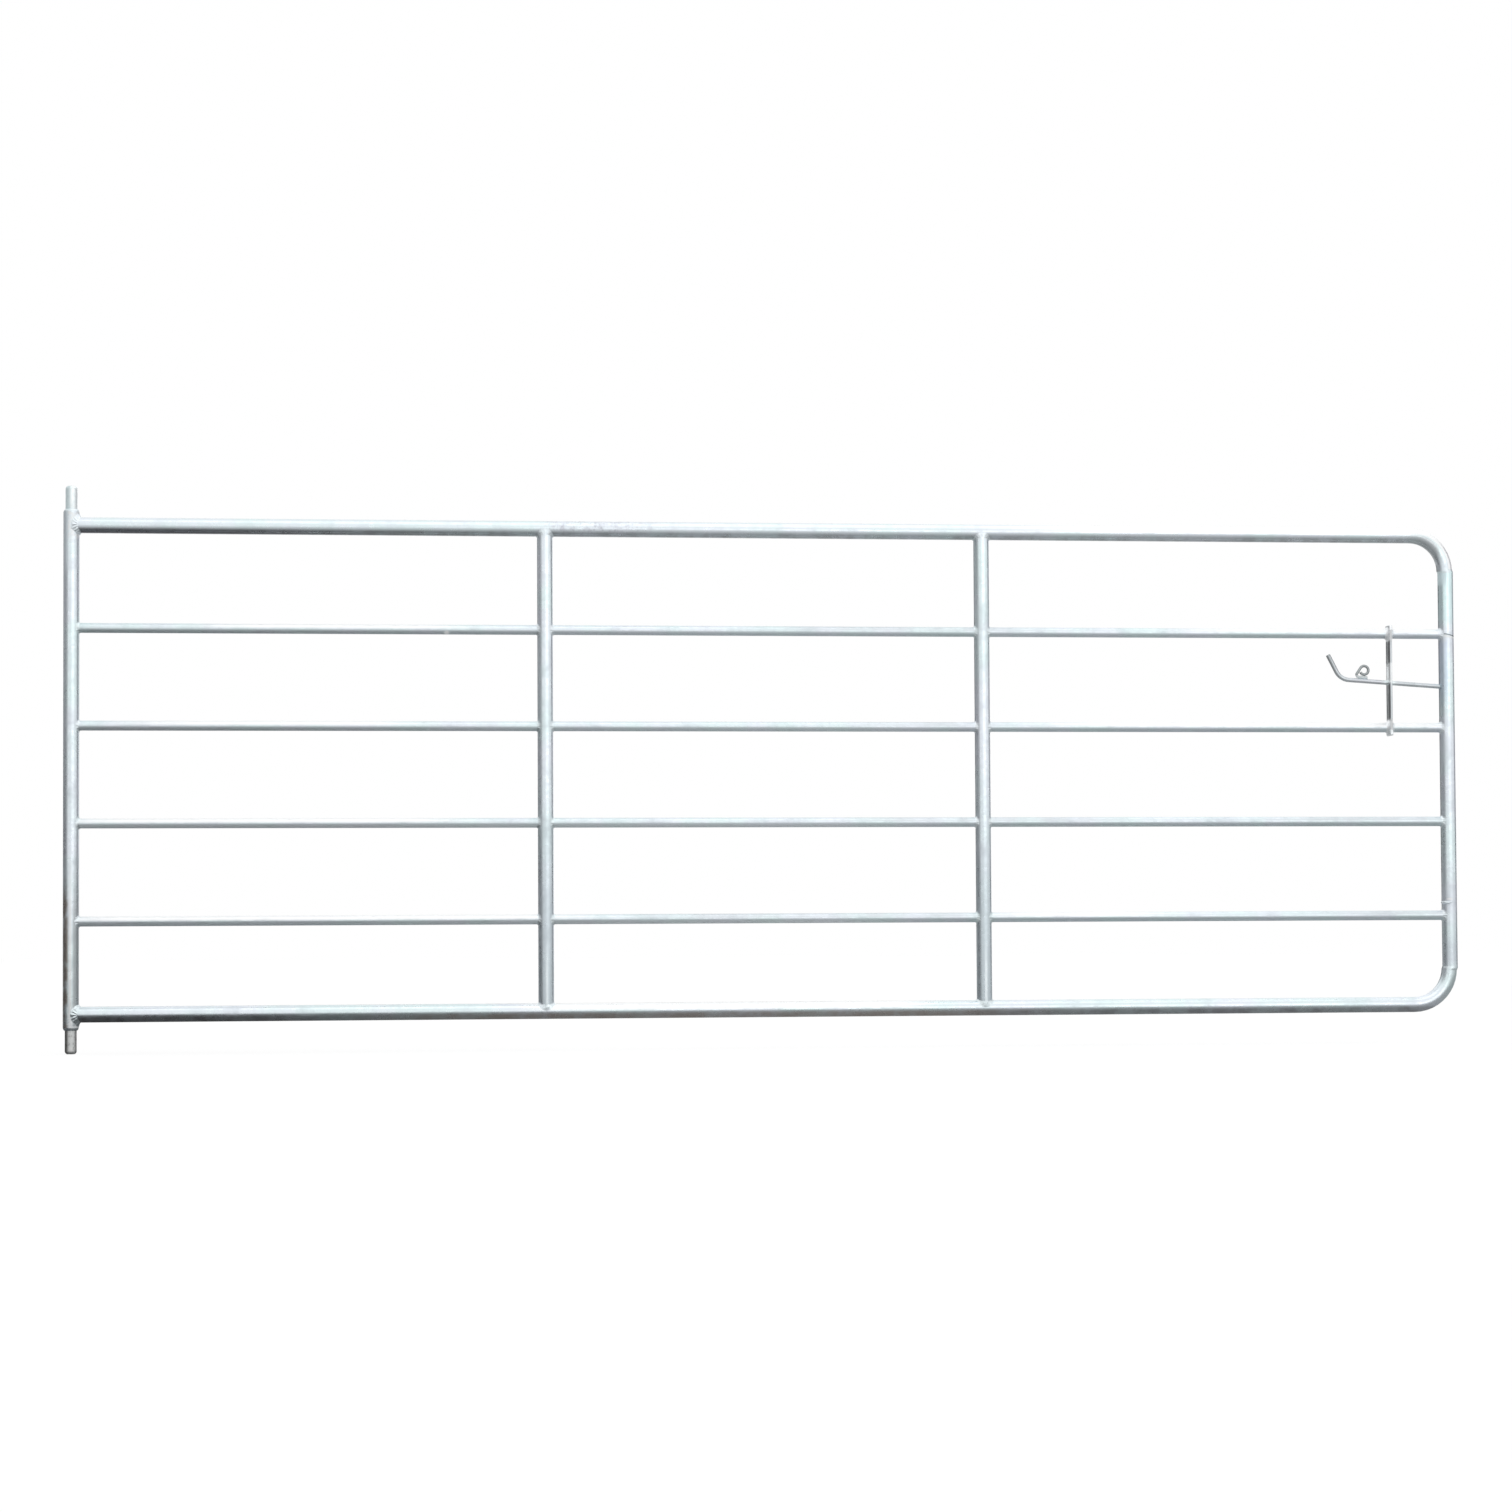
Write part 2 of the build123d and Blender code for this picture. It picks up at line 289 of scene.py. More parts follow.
def top_rail_marks(place):
    """Painted highlight: whiter above, past the right upright and round the bend. Painted shade below, in clumps,
    darkest by the hinge, and inside the bend.

    Skimmings from the bath froze on it in dull blotches, just past the left upright.
    """
    side, height = place.along("X"), place.along("Z") - top_rail_level
    # Painted highlight on the upper half past the right upright and round the outer bend.
    past_upright = height.rises(-0.003, 0.003) * side.rises(1.95, 2.25)
    round_bend = side - bend_start
    in_plane = place.node("ShaderNodeVectorMath", {"operation": "MULTIPLY"}, {0: place, 1: (1, 0, 1)})
    outwards = in_plane.distance_to(bend_middle) - bend_radius
    outer_bend = outwards.rises(0.002, 0.007) * round_bend.rises(-0.004, 0.026)
    # Painted shade inside the bend.
    shaded_inner_bend = outwards.falls(0.0, 0.004) * round_bend.rises(-0.024, 0.036) * round_bend.falls(0.056, 0.069)
    # Painted shade on the underside, in clumps, darkest by the hinge.
    under = height.falls(-0.014, -0.003) * round_bend.falls(-0.004, 0.026)
    shade_clumps = under * (0.35 + 0.65 * cloud(place, 30.0, 4.0).rises(0.40, 0.65))
    shade_by_hinge = under * side.falls(0.15, 0.95)
    skimmed = side.rises(0.98, 1.03) * side.falls(1.14, 1.34)
    blotches = skimmed * cloud(place, 75.0, 4.0).rises(0.46, 0.68)
    dross = skimmed * cloud(place, 260.0).rises(0.52, 0.70)
    return (Mark(past_upright + outer_bend, highlight_white),
            Mark(0.7 * shade_clumps, (0.46, 0.48, 0.49, 1)),
            Mark(0.75 * shade_by_hinge, (0.30, 0.29, 0.33, 1)),
            Mark(0.7 * blotches, (0.62, 0.64, 0.70, 1), 0.2),
            Mark(0.5 * dross, (0.50, 0.53, 0.58, 1), 0.15),
            Mark(shaded_inner_bend, (0.56, 0.60, 0.62, 1)))


def bottom_rail_marks(place):
    """Painted highlight whiter above, between the uprights, and below brown there and painted shade, dark towards
    both ends.
    """
    side, height = place.along("X"), place.along("Z") - bottom_rail_level
    pale_middle = 1.40
    # Painted highlight on the upper half between the uprights.
    upper = height.rises(0.0, 0.006) * side.near(pale_middle, 0.36, 0.48)
    under = height.falls(-0.008, 0.0)
    patchy = 0.5 + 0.5 * cloud(place, 20.0, 4.0).rises(0.30, 0.60)
    brown = under * side.near(pale_middle, 0.55, 0.85) * patchy
    shade_clumps = 0.65 + 0.35 * cloud(place, 30.0, 4.0).rises(0.40, 0.65)
    # Painted shade on the underside towards both ends.
    shade_to_ends = under * (side.falls(0.25, 0.90) + 0.85 * side.rises(1.75, 2.20)) * shade_clumps
    return (Mark(upper, highlight_white),
            Mark(0.9 * brown, (0.52, 0.455, 0.42, 1)),
            Mark(0.9 * shade_to_ends, (0.29, 0.285, 0.30, 1)))


for node, marks in (("top_rail", top_rail_marks), ("bottom_rail", bottom_rail_marks)):
    nodes[node].material_slots[0].material = zinc_coat(
        node + "_zinc", pale_blue, pale_lavender, dull_grey, drained_along, frame_rough, marks)


def in_stretches(side, stretches, fade=0.12):
    """1 in each stretch of a rail, from its start to its end, and 0 outside."""
    covered = 0.0
    for start, end in stretches:
        covered = covered + side.rises(start - fade, start + fade) * side.falls(end - fade, end + fade)
    return covered


def thin_rail_marks(node, highlit_stretches, dull, bloom, knocks):
    """Marks for one thin rail: a painted highlight on its upper half, white in some stretches and dull in others.

    A matt bloom lies on its underside as far as the right upright, and knocks have left bright spots.
    """
    level = middle(node).z

    def marks(place):
        side, height = place.along("X"), place.along("Z") - level
        upper = height.rises(-0.0015, 0.0040)
        under = height.falls(-0.0060, 0.0) * side.falls(1.6, 2.0)
        patchy = 0.4 + 0.6 * cloud(place, 16.0, 4.0).rises(0.35, 0.60)
        # Painted highlight on the upper half: white in some stretches, dimmer in others.
        return (Mark(0.9 * upper * in_stretches(side, highlit_stretches), (0.97, 0.975, 0.98, 1)),
                Mark(0.8 * upper * in_stretches(side, dull) * patchy, (0.67, 0.71, 0.745, 1)),
                Mark(bloom * under, (0.92, 0.94, 0.95, 1), 1.0),
                *(Mark(place.distance_to((x, y, level + up)).falls(0.003, 0.008), (0.95, 0.97, 0.97, 1), 0.6)
                  for x, y, up in knocks))

    return marks


thin_rail_rough = 0.36
# For each thin rail, the stretches where its painted highlight is white and where it is dull.
for node, highlit_stretches, dull, bloom, knocks in (
        ("second_rail", ((0.30, 0.80), (2.45, 3.05)), ((1.55, 2.05),), 0.07, ((0.797, -0.008, -0.0085),)),
        ("third_rail", ((0.15, 0.70), (2.15, 3.05)), ((1.70, 2.00),), 0.13, ()),
        ("fourth_rail", ((0.00, 0.80),), ((1.70, 2.25), (2.65, 3.05)), 0.28, ()),
        ("fifth_rail", ((0.00, 1.05), (2.00, 2.35)), ((1.20, 1.95), (2.75, 3.05)), 0.22, ())):
    nodes[node].material_slots[0].material = zinc_coat(
        node + "_zinc", pale_blue, pale_lavender, dull_grey, drained_along, thin_rail_rough,
        thin_rail_marks(node, highlit_stretches, dull, bloom, knocks))

# The hinge pins: solid round bar, a length standing out of each end of the hanging stile.
# The top pin came out of the bath bright, and the bottom one, last to drain, is dull and mottled.


def top_pin_marks(place):
    """A thin white bloom, patchy, as on zinc that froze late, and painted light down the outer side, matt."""
    patches = 0.55 + 0.45 * cloud(place, 60.0, 4.0).rises(0.35, 0.65)
    # Painted light: the outer side made pale and matt.
    lit_outer_side = place.along("X").falls(-0.005, 0.001)
    return (Mark(patches, (0.93, 0.98, 0.985, 1), 0.10),
            Mark(lit_outer_side, (0.83, 0.95, 0.97, 1), 0.45))


def bottom_pin_marks(place):
    """A dull bloom, dark spots all over, painted shade down both edges, wider on the outer, and a painted
    highlight on the tip.
    """
    side = place.along("X")
    bloom = 0.6 + 0.4 * cloud(place, 70.0).rises(0.4, 0.6)
    spots = cloud(place, 110.0, 4.0).rises(0.48, 0.66)
    # Painted shade down both edges of the pin.
    shaded_edges = side.falls(-0.009, -0.002) + 0.5 * side.rises(0.008, 0.011)
    # Painted highlight on the tip.
    tip_highlight = place.distance_to((0.001, -0.012, -0.039)).falls(0.002, 0.007)
    return (Mark(bloom, (0.90, 0.92, 0.91, 1), 0.30),
            Mark(0.55 * spots, (0.30, 0.305, 0.295, 1)),
            Mark(0.9 * shaded_edges, (0.13, 0.125, 0.12, 1)),
            Mark(0.9 * tip_highlight, (0.98, 0.98, 0.97, 1)))


nodes["top_hinge_pin"].material_slots[0].material = zinc_coat(
    "top_hinge_pin_zinc", pale_blue, (0.86, 0.91, 0.93, 1), dull_grey,
    drained_down, rough=0.28, marks=top_pin_marks)
nodes["bottom_hinge_pin"].material_slots[0].material = zinc_coat(
    "bottom_hinge_pin_zinc", (0.93, 0.96, 0.955, 1), (0.93, 0.935, 0.92, 1), (0.62, 0.635, 0.625, 1),
    drained_down, rough=0.30, marks=bottom_pin_marks)

# The saddle welds: a hand-laid bead round each joint of tube on tube, under zinc that gathered there.
# The thin rails' are small smooth fillets. The frame's own joints are lumpy, with short runs of zinc.


def weld_marks(place):
    """A faint matt bloom in patches, a little grey dross, and white at the closing stile's head."""
    side, height = place.along("X") - middle("closing_stile").x, place.along("Z")
    bloom = cloud(place, 90.0).rises(0.42, 0.70)
    dross = cloud(place, 210.0).rises(0.54, 0.68)
    at_head = side.rises(-0.036, -0.026) * side.falls(-0.010, -0.002) * height.rises(0.96, 0.98)
    return (Mark(0.5 * bloom, (0.84, 0.91, 0.92, 1), 0.3),
            Mark(0.35 * dross, (0.48, 0.53, 0.55, 1), 0.1),
            Mark(at_head, (0.84, 0.96, 0.98, 1), 0.35))


undrained = (1.0, 1.0, 1.0)
weld_zinc = zinc_coat("weld_zinc", (0.79, 0.90, 0.91, 1), (0.83, 0.88, 0.93, 1), dull_grey,
                      undrained, rough=0.27, marks=weld_marks)
zinc_lumps = bpy.data.textures.new("zinc_lumps", "CLOUDS")
zinc_lumps.noise_scale = 0.0065
zinc_lumps.noise_depth = 2
buried = 0.0008                       # depth of a bead's hidden back inside the tubes
face_points, bead_points = 11, 14     # across a bead's face, and all round its section


def bead_ring(name, steps, section):
    """A closed bead, whose section(turn) gives its two edges, the corner between them and its buried back.

    Its points are set one by one, because no operator follows the curved line where two tubes meet.
    """
    bpy.ops.object.select_all(action="DESELECT")
    bpy.ops.mesh.primitive_torus_add(major_segments=steps, minor_segments=bead_points)
    bead = bpy.context.object
    bead.name = name
    lumpy = bead.vertex_groups.new(name="lumpy")
    for step in range(steps):
        first, corner, last, back = section(2 * math.pi * step / steps)
        for point in range(bead_points):
            index = step * bead_points + point
            share = point / (face_points - 1)
            if point < face_points:
                place = (1 - share) ** 2 * first + 2 * share * (1 - share) * corner + share ** 2 * last
                lumpy.add([index], 4 * share * (1 - share), "REPLACE")
            else:
                place = back[point - face_points]
            bead.data.vertices[index].co = place
    return bead


def saddle_bead(name, branch_radius, legs, eased, ripples):
    """The bead where a branch tube along +X meets a frame tube along Z, both through the origin.

    Where both are equally thick, the joint line comes to a point at each side, which the weld eases round.
    The ripples are the weld's own, one for each drop of metal laid.
    """

    def section(turn):
        round_branch = Vector((0, math.cos(turn), math.sin(turn)))
        across, up = branch_radius * math.cos(turn), branch_radius * math.sin(turn)
        out = math.sqrt(frame_radius ** 2 - across ** 2 + (eased * math.cos(turn)) ** 2)
        corner = Vector((out, across, up))
        round_main = Vector((out, across, 0)).normalized()
        line = Vector((-across * up / out, up, -across)).normalized()
        on_branch, on_main, crown = legs(turn)
        first = corner + on_branch * line.cross(round_branch)
        first_round = Vector((0, first.y, first.z)).normalized()
        first = Vector((first.x, 0, 0)) + branch_radius * first_round
        last = corner + on_main * round_main.cross(line)
        last_round = Vector((last.x, last.y, 0)).normalized()
        last = Vector((0, 0, last.z)) + frame_radius * last_round
        both_ways = round_branch + round_main
        back = (last - buried * last_round, corner - buried * both_ways, first - buried * first_round)
        ripple = 1 + 0.45 * math.cos(ripples * turn + 0.7 * math.sin(3 * turn))
        return first, corner + crown * ripple * both_ways.normalized(), last, back

    return bead_ring(name, steps=168, section=section)


def thin_rail_legs(turn):
    """A smooth fillet, longest at the front and back."""
    face_on = math.cos(turn) ** 2
    on_rail = 0.0030 + 0.0012 * face_on
    on_post = 0.0034 + 0.0030 * face_on
    return on_rail, on_post, 0.0007


def frame_rail_legs(turn):
    """A rippled bead, wider at the front and back, and widest towards the stile's end."""
    ripple = 0.5 + 0.5 * math.cos(9 * turn + 0.8)
    face_on, to_stile_end = math.cos(turn) ** 2, max(0.0, math.sin(turn)) ** 3
    on_rail = 0.0032 + 0.0014 * ripple + 0.0030 * face_on
    on_stile = 0.0042 + 0.0014 * ripple + 0.0040 * face_on + 0.0046 * to_stile_end
    return on_rail, on_stile, 0.0020


def upright_legs(turn):
    """A low bead, with short runs of zinc down the upright's front and back."""
    face_on = math.cos(turn) ** 2
    run = face_on * max(0.0, -math.cos(8 * turn)) ** 2
    on_upright = 0.0026 + 0.0022 * face_on + 0.0042 * run
    on_rail = 0.0030 + 0.0045 * face_on
    return on_upright, on_rail, 0.0014 - 0.0010 * face_on


def copy_at(bead, place, turn=Matrix.Identity(4)):
    copy = bead.copy()
    copy.data = bead.data.copy()
    bpy.context.collection.objects.link(copy)
    copy.data.transform(Matrix.Translation(place) @ turn)
    return copy


def finished_beads(name, beads, lump, replaced=None, zinc=weld_zinc):
    """Joins beads to one piece of the gate, lumps their faces, and lets it stand for the node replaced."""
    bpy.ops.object.select_all(action="DESELECT")
    for bead in beads:
        bead.select_set(True)
    bpy.context.view_layer.objects.active = beads[0]
    if len(beads) > 1:
        bpy.ops.object.join()
    piece = bpy.context.object
    piece.name = name
    lumps = piece.modifiers.new("lumps", "DISPLACE")
    lumps.texture = zinc_lumps
    lumps.texture_coords = "LOCAL"
    lumps.strength = lump
    lumps.vertex_group = "lumpy"
    bpy.ops.object.mode_set(mode="EDIT")
    bpy.ops.mesh.select_all(action="SELECT")
    bpy.ops.mesh.normals_make_consistent(inside=False)
    bpy.ops.object.mode_set(mode="OBJECT")
    bpy.ops.object.modifier_apply(modifier="lumps")
    bpy.ops.object.shade_smooth_by_angle(angle=math.radians(50))
    piece.data.materials.clear()
    piece.data.materials.append(zinc)
    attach(piece, "gate")
    if replaced:
        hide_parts(replaced)


rail_radius = radius("third_rail")
thin_rail_bead = saddle_bead("thin_rail_bead", rail_radius, thin_rail_legs, eased=0.0024, ripples=14)
frame_rail_bead = saddle_bead("frame_rail_bead", frame_radius, frame_rail_legs, eased=0.0080, ripples=22)
upright_bead = saddle_bead("upright_bead", frame_radius, upright_legs, eased=0.0080, ripples=22)
to_right, to_left = Matrix.Identity(4), Matrix.Rotation(math.pi, 4, "Z")
downwards, upwards = Matrix.Rotation(math.pi / 2, 4, "Y"), Matrix.Rotation(-math.pi / 2, 4, "Y")
upside_down = Matrix.Scale(-1, 4, (0, 0, 1))
thin_rails = [middle(node).z for node in ("second_rail", "third_rail", "fourth_rail", "fifth_rail")]

hanging_x, closing_x = middle("hanging_stile").x, middle("closing_stile").x
hanging_beads = [copy_at(thin_rail_bead, (hanging_x, 0, level)) for level in thin_rails]
hanging_beads += [copy_at(frame_rail_bead, (hanging_x, 0, top_rail_level)),
                  copy_at(frame_rail_bead, (hanging_x, 0, bottom_rail_level), upside_down)]
finished_beads("hanging_stile_weld_beads", hanging_beads, lump=0.0015, replaced="hanging_stile_welds")
closing_beads = [copy_at(thin_rail_bead, (closing_x, 0, level), to_left) for level in thin_rails]
finished_beads("closing_stile_weld_beads", closing_beads, lump=0.0008, replaced="closing_stile_welds")
for upright in ("left_upright", "right_upright"):
    upright_x = middle(upright).x
    upright_beads = [copy_at(thin_rail_bead, (upright_x, 0, level), turn)
                     for level in thin_rails for turn in (to_right, to_left)]
    upright_beads += [copy_at(upright_bead, (upright_x, 0, top_rail_level), downwards),
                      copy_at(upright_bead, (upright_x, 0, bottom_rail_level), upwards)]
    finished_beads(upright + "_weld_beads", upright_beads, lump=0.0007, replaced=upright + "_welds")
for pattern in (thin_rail_bead, frame_rail_bead, upright_bead):
    bpy.data.objects.remove(pattern)

# The hinge pin welds: one bead round each pin, from the end of the stile in to the pin.
# They stay short of the pins' shoulders, where the hinge eyes bear.

stile_foot, stile_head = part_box("hanging_stile")[0].z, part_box("hanging_stile")[1].z
pin_radius = frame["record"]["mounts"][0]["dims"]["r_mm"] / 1000
pin_weld_rise, pin_weld_lip, edge_inset = 0.0058, 0.0004, 0.0002
corner_inset, corner_drop = 0.0012, 0.0008


def round_post(turn, out, up):
    """A point so far out from a post's centre line, and so far up."""
    return Vector((out * math.cos(turn), out * math.sin(turn), up))


def pin_weld_section(turn):
    at_pin = round_post(turn, pin_radius + pin_weld_lip, pin_weld_rise)
    at_stile_edge = round_post(turn, frame_radius - edge_inset, -edge_inset)
    corner = round_post(turn, frame_radius - corner_inset, pin_weld_rise - corner_drop)
    in_pin = pin_weld_lip + edge_inset
    back = (round_post(turn, frame_radius - corner_inset - edge_inset, -buried),
            round_post(turn, pin_radius - pin_weld_lip, -buried),
            round_post(turn, pin_radius - in_pin, pin_weld_rise - in_pin))
    return at_pin, corner, at_stile_edge, back


pin_bead = bead_ring("pin_bead", steps=96, section=pin_weld_section)
pin_beads = [copy_at(pin_bead, (hanging_x, 0, stile_head)),
             copy_at(pin_bead, (hanging_x, 0, stile_foot), Matrix.Rotation(math.pi, 4, "X"))]
finished_beads("hinge_pin_weld_beads", pin_beads, lump=0.0006, replaced="hinge_pin_welds")
bpy.data.objects.remove(pin_bead)

# The corner butt welds: where the closing stile meets the bent ends of the top and bottom rails, end to end.
# The bends stand a little inside the stile's line, so each bead covers a small step.

stile_to_bend = Vector((bend_x - closing_x, 0, 0))
butt_leg, butt_crown = 0.0044, 0.0005


def butt_section(turn):
    outward = round_post(turn, 1.0, 0.0)
    on_stile = round_post(turn, frame_radius, butt_leg)
    on_bend = stile_to_bend + round_post(turn, frame_radius, -butt_leg)
    seam = (on_stile + on_bend) / 2
    back = (on_bend - buried * outward, seam - 2 * buried * outward, on_stile - buried * outward)
    return on_stile, seam + butt_crown * outward, on_bend, back


butt_bead = bead_ring("butt_bead", steps=96, section=butt_section)
butt_beads = [copy_at(butt_bead, (closing_x, 0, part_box("closing_stile")[0].z)),
              copy_at(butt_bead, (closing_x, 0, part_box("closing_stile")[1].z), upside_down)]
finished_beads("corner_butt_weld_beads", butt_beads, lump=0.0004, replaced="corner_butt_welds")
bpy.data.objects.remove(butt_bead)

# The bolt keeper: a flat bar set edge-on, notched over the second and third rails, slotted for bolt and eye.
# It is dull grey, and its ends are thick with bright zinc, where beads run round the rails on both sides.

keeper_low, keeper_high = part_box("bolt_keeper")
keeper_middle = middle("bolt_keeper")
second_rail_level, third_rail_level = thin_rails[:2]
bolt_above_rail, slot_half_width = 0.100, 0.0055
bolt_level = third_rail_level + bolt_above_rail


def keeper_marks(place):
    """White zinc on the keeper's ends, a painted highlight above the bolt, and the slot's walls rubbed bright by
    it.
    """
    depth, height = place.along("Y"), place.along("Z")
    front_edge = (depth - keeper_low.y).falls(0.00015, 0.00065)
    slot_walls = (abs(depth) - slot_half_width).falls(0.00005, 0.00025)
    # Painted highlight: a pale patch on the keeper's front just above the bolt.
    above_bolt = (height - bolt_level).near(0.021, 0.018, 0.026)
    top_end = (height - second_rail_level).rises(-0.020, -0.012)
    bottom_end = (height - third_rail_level).falls(0.012, 0.022)
    return (Mark(0.7 * front_edge, (0.62, 0.66, 0.68, 1)),
            Mark(slot_walls, (0.88, 0.92, 0.92, 1)),
            Mark(above_bolt, (0.92, 0.95, 0.96, 1), 0.25),
            Mark(top_end + bottom_end, (0.94, 0.96, 0.97, 1), 0.85))


nodes["bolt_keeper"].material_slots[0].material = zinc_coat(
    "bolt_keeper_zinc", (0.34, 0.37, 0.38, 1), (0.37, 0.38, 0.40, 1), (0.22, 0.24, 0.25, 1),
    drained_down, rough=0.30, marks=keeper_marks)
keeper_weld_zinc = zinc_coat(
    "keeper_weld_zinc", (0.94, 0.985, 1.0, 1), (0.97, 0.98, 1.0, 1), (0.80, 0.85, 0.87, 1),
    undrained, rough=0.42)
keeper_leg, keeper_crown = 0.0068, 0.0024
keeper_bead_rise, keeper_back_margin = 0.0166, 0.0003


def keeper_weld_section(turn):
    outward = Vector((0, math.cos(turn), math.sin(turn)))
    along = Vector((1, 0, 0))
    corner = rail_radius * outward
    on_rail = corner + keeper_leg * along
    on_keeper = corner + keeper_leg * outward
    on_keeper.y = min(on_keeper.y, keeper_high.y - keeper_back_margin)
    on_keeper.z = max(-keeper_bead_rise, min(on_keeper.z, keeper_bead_rise))
    back = (on_keeper - buried * along, corner - buried * (along + outward), on_rail - buried * outward)
    return on_rail, corner + keeper_crown * (along + outward), on_keeper, back


keeper_bead = bead_ring("keeper_bead", steps=80, section=keeper_weld_section)
mirrored = Matrix.Scale(-1, 4, (1, 0, 0))
keeper_beads = []
for level in (second_rail_level, third_rail_level):
    keeper_beads.append(copy_at(keeper_bead, (keeper_high.x, 0, level)))
    keeper_beads.append(copy_at(keeper_bead, (keeper_low.x, 0, level), mirrored))

coat_half_size = Vector((0.0037, 0.0155, 0.0066))
coat_rounding, coat_past_end = 0.0024, 0.0012
bpy.ops.object.select_all(action="DESELECT")
bpy.ops.mesh.primitive_cube_add(size=2.0)
end_coat = bpy.context.object
end_coat.data.transform(Matrix.Diagonal((*coat_half_size, 1.0)))
rounding = end_coat.modifiers.new("rounding", "BEVEL")
rounding.width = coat_rounding
rounding.segments = 5
bpy.ops.object.modifier_apply(modifier="rounding")
finer = end_coat.modifiers.new("finer", "SUBSURF")
finer.subdivision_type = "SIMPLE"
finer.levels = 3
finer.render_levels = 3
bpy.ops.object.modifier_apply(modifier="finer")
end_coat.vertex_groups.new(name="lumpy").add(range(len(end_coat.data.vertices)), 1.0, "REPLACE")
end_to_coat_middle = coat_half_size.z - coat_past_end
for level in (keeper_low.z + end_to_coat_middle, keeper_high.z - end_to_coat_middle):
    keeper_beads.append(copy_at(end_coat, (keeper_middle.x, keeper_middle.y, level)))

finished_beads("keeper_weld_beads", keeper_beads, lump=0.0010, replaced="keeper_welds", zinc=keeper_weld_zinc)
for pattern in (keeper_bead, end_coat):
    bpy.data.objects.remove(pattern)

# The slide bolt: a round bar through the keeper and the closing stile, its inner end bent up into a handle.
# A padlock eye, curled from thinner bar, is welded on top of it. Both are dull, and brighter where they rub.

bolt_axis = Vector(frame["joints"][0]["axis"])
handle_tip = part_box("slide_bolt")[0].x


def bolt_marks(place):
    """Rubbed bright where the bolt runs in the keeper, and dull on the handle."""
    side = place.along("X")
    in_keeper = side.near(keeper_middle.x, 0.006, 0.022)
    handle = (side - handle_tip).falls(0.003, 0.043)
    return (Mark(0.9 * in_keeper, (0.86, 0.93, 0.94, 1)),
            Mark(0.8 * handle, (0.42, 0.45, 0.46, 1)))


def eye_marks(place):
    """The foot lies in the zinc that gathered along the top of the bolt, and is pale there, partly a painted
    highlight where it faces up.
    """
    bolt_rise = bolt_axis.z / bolt_axis.x * (place.along("X") - keeper_middle.x)
    above_bolt = place.along("Z") - bolt_level - bolt_rise
    # Pale foot: zinc gathered on it, with a painted highlight on its upward face.
    return (Mark(above_bolt.falls(0.0100, 0.0120), (0.88, 0.93, 0.94, 1), 0.6),)


nodes["slide_bolt"].material_slots[0].material = zinc_coat(
    "slide_bolt_zinc", (0.66, 0.71, 0.73, 1), (0.68, 0.69, 0.74, 1), (0.40, 0.43, 0.45, 1),
    drained_along, rough=0.30, marks=bolt_marks)
nodes["padlock_eye"].material_slots[0].material = zinc_coat(
    "padlock_eye_zinc", (0.40, 0.44, 0.44, 1), (0.41, 0.43, 0.44, 1), (0.26, 0.285, 0.285, 1),
    undrained, rough=0.36, marks=eye_marks)
nodes["padlock_eye_weld"].material_slots[0].material = weld_zinc

# The zinc run: a drip that froze part of the way round the closing stile, just above the fifth rail.
# It is a low ridge of zinc, highest at the stile's inner side, and runs out towards its front.

run_above_rail, run_leg, run_rise = 0.0280, 0.0036, 0.0046
run_wander, run_climb, run_sunk = 0.0006, 0.0010, 0.0002
run_side = math.radians(205)


def zinc_run_section(turn):
    outward, up = round_post(turn, 1.0, 0.0), Vector((0, 0, 1))
    thick = max(0.0, math.cos(turn - run_side))
    level = run_wander * math.sin(7 * turn) + run_climb * (1 - thick)
    leg, rise = run_leg * (0.2 + 0.8 * thick), run_rise * thick ** 1.3
    on_stile = round_post(turn, frame_radius - run_sunk, level)
    crest = on_stile + (rise - 2 * run_sunk) * outward - 0.4 * leg * up
    back = [on_stile + step * leg * up - buried * outward for step in (-1, 0, 1)]
    return on_stile + leg * up, crest, on_stile - leg * up, back


zinc_run = bead_ring("zinc_run", steps=96, section=zinc_run_section)
run_copy = copy_at(zinc_run, (closing_x, 0, middle("fifth_rail").z + run_above_rail))
finished_beads("closing_stile_zinc_run", [run_copy], lump=0.0004)
bpy.data.objects.remove(zinc_run)

# The studio: a white floor under the bottom pin and a white backdrop all round, lit from above and in front.
# Grey cloths that only the zinc reflects hang to the sides and behind and lie below, for its dark edges.


def seen_directly(tree):
    """1 for a camera, glossy or transmission ray, which meets the plain white backdrop, and 0 for light."""
    rays = [Wire(tree).node("ShaderNodeLightPath", None, None, kind)
            for kind in ("Is Camera Ray", "Is Glossy Ray", "Is Transmission Ray")]
    return (rays[0] + rays[1] + rays[2]).rises(0.0, 1.0)


def stage_plane(name, size, place, turn=(0, 0, 0)):
    bpy.ops.mesh.primitive_plane_add(size=1.0)
    plane = bpy.context.object
    plane.name = name
    plane.scale = (*size, 1.0)
    plane.rotation_euler = turn
    plane.location = place
    material = bpy.data.materials.new(name)
    material.use_nodes = True
    plane.data.materials.append(material)
    return plane


gate_middle = (cad_box[0].x + cad_box[1].x) / 2
floor_level = cad_box[0].z
floor_glow, glow_share = 1.36, 0.6
floor = stage_plane("floor", (80, 80), (gate_middle, 0, floor_level))
floor_tree = floor.active_material.node_tree
paint = floor_tree.nodes["Principled BSDF"]
paint.inputs["Base Color"].default_value = (0.85, 0.85, 0.85, 1)
paint.inputs["Roughness"].default_value = 0.9
matt = Wire(floor_tree, paint.outputs[0])
glow = matt.node("ShaderNodeEmission", None, {"Color": (1, 1, 1, 1), "Strength": floor_glow})
share = glow_share * seen_directly(floor_tree)
mixed = matt.node("ShaderNodeMixShader", None, {0: share, 1: matt, 2: glow})
mixed.feed(floor_tree.nodes["Material Output"], "Surface")


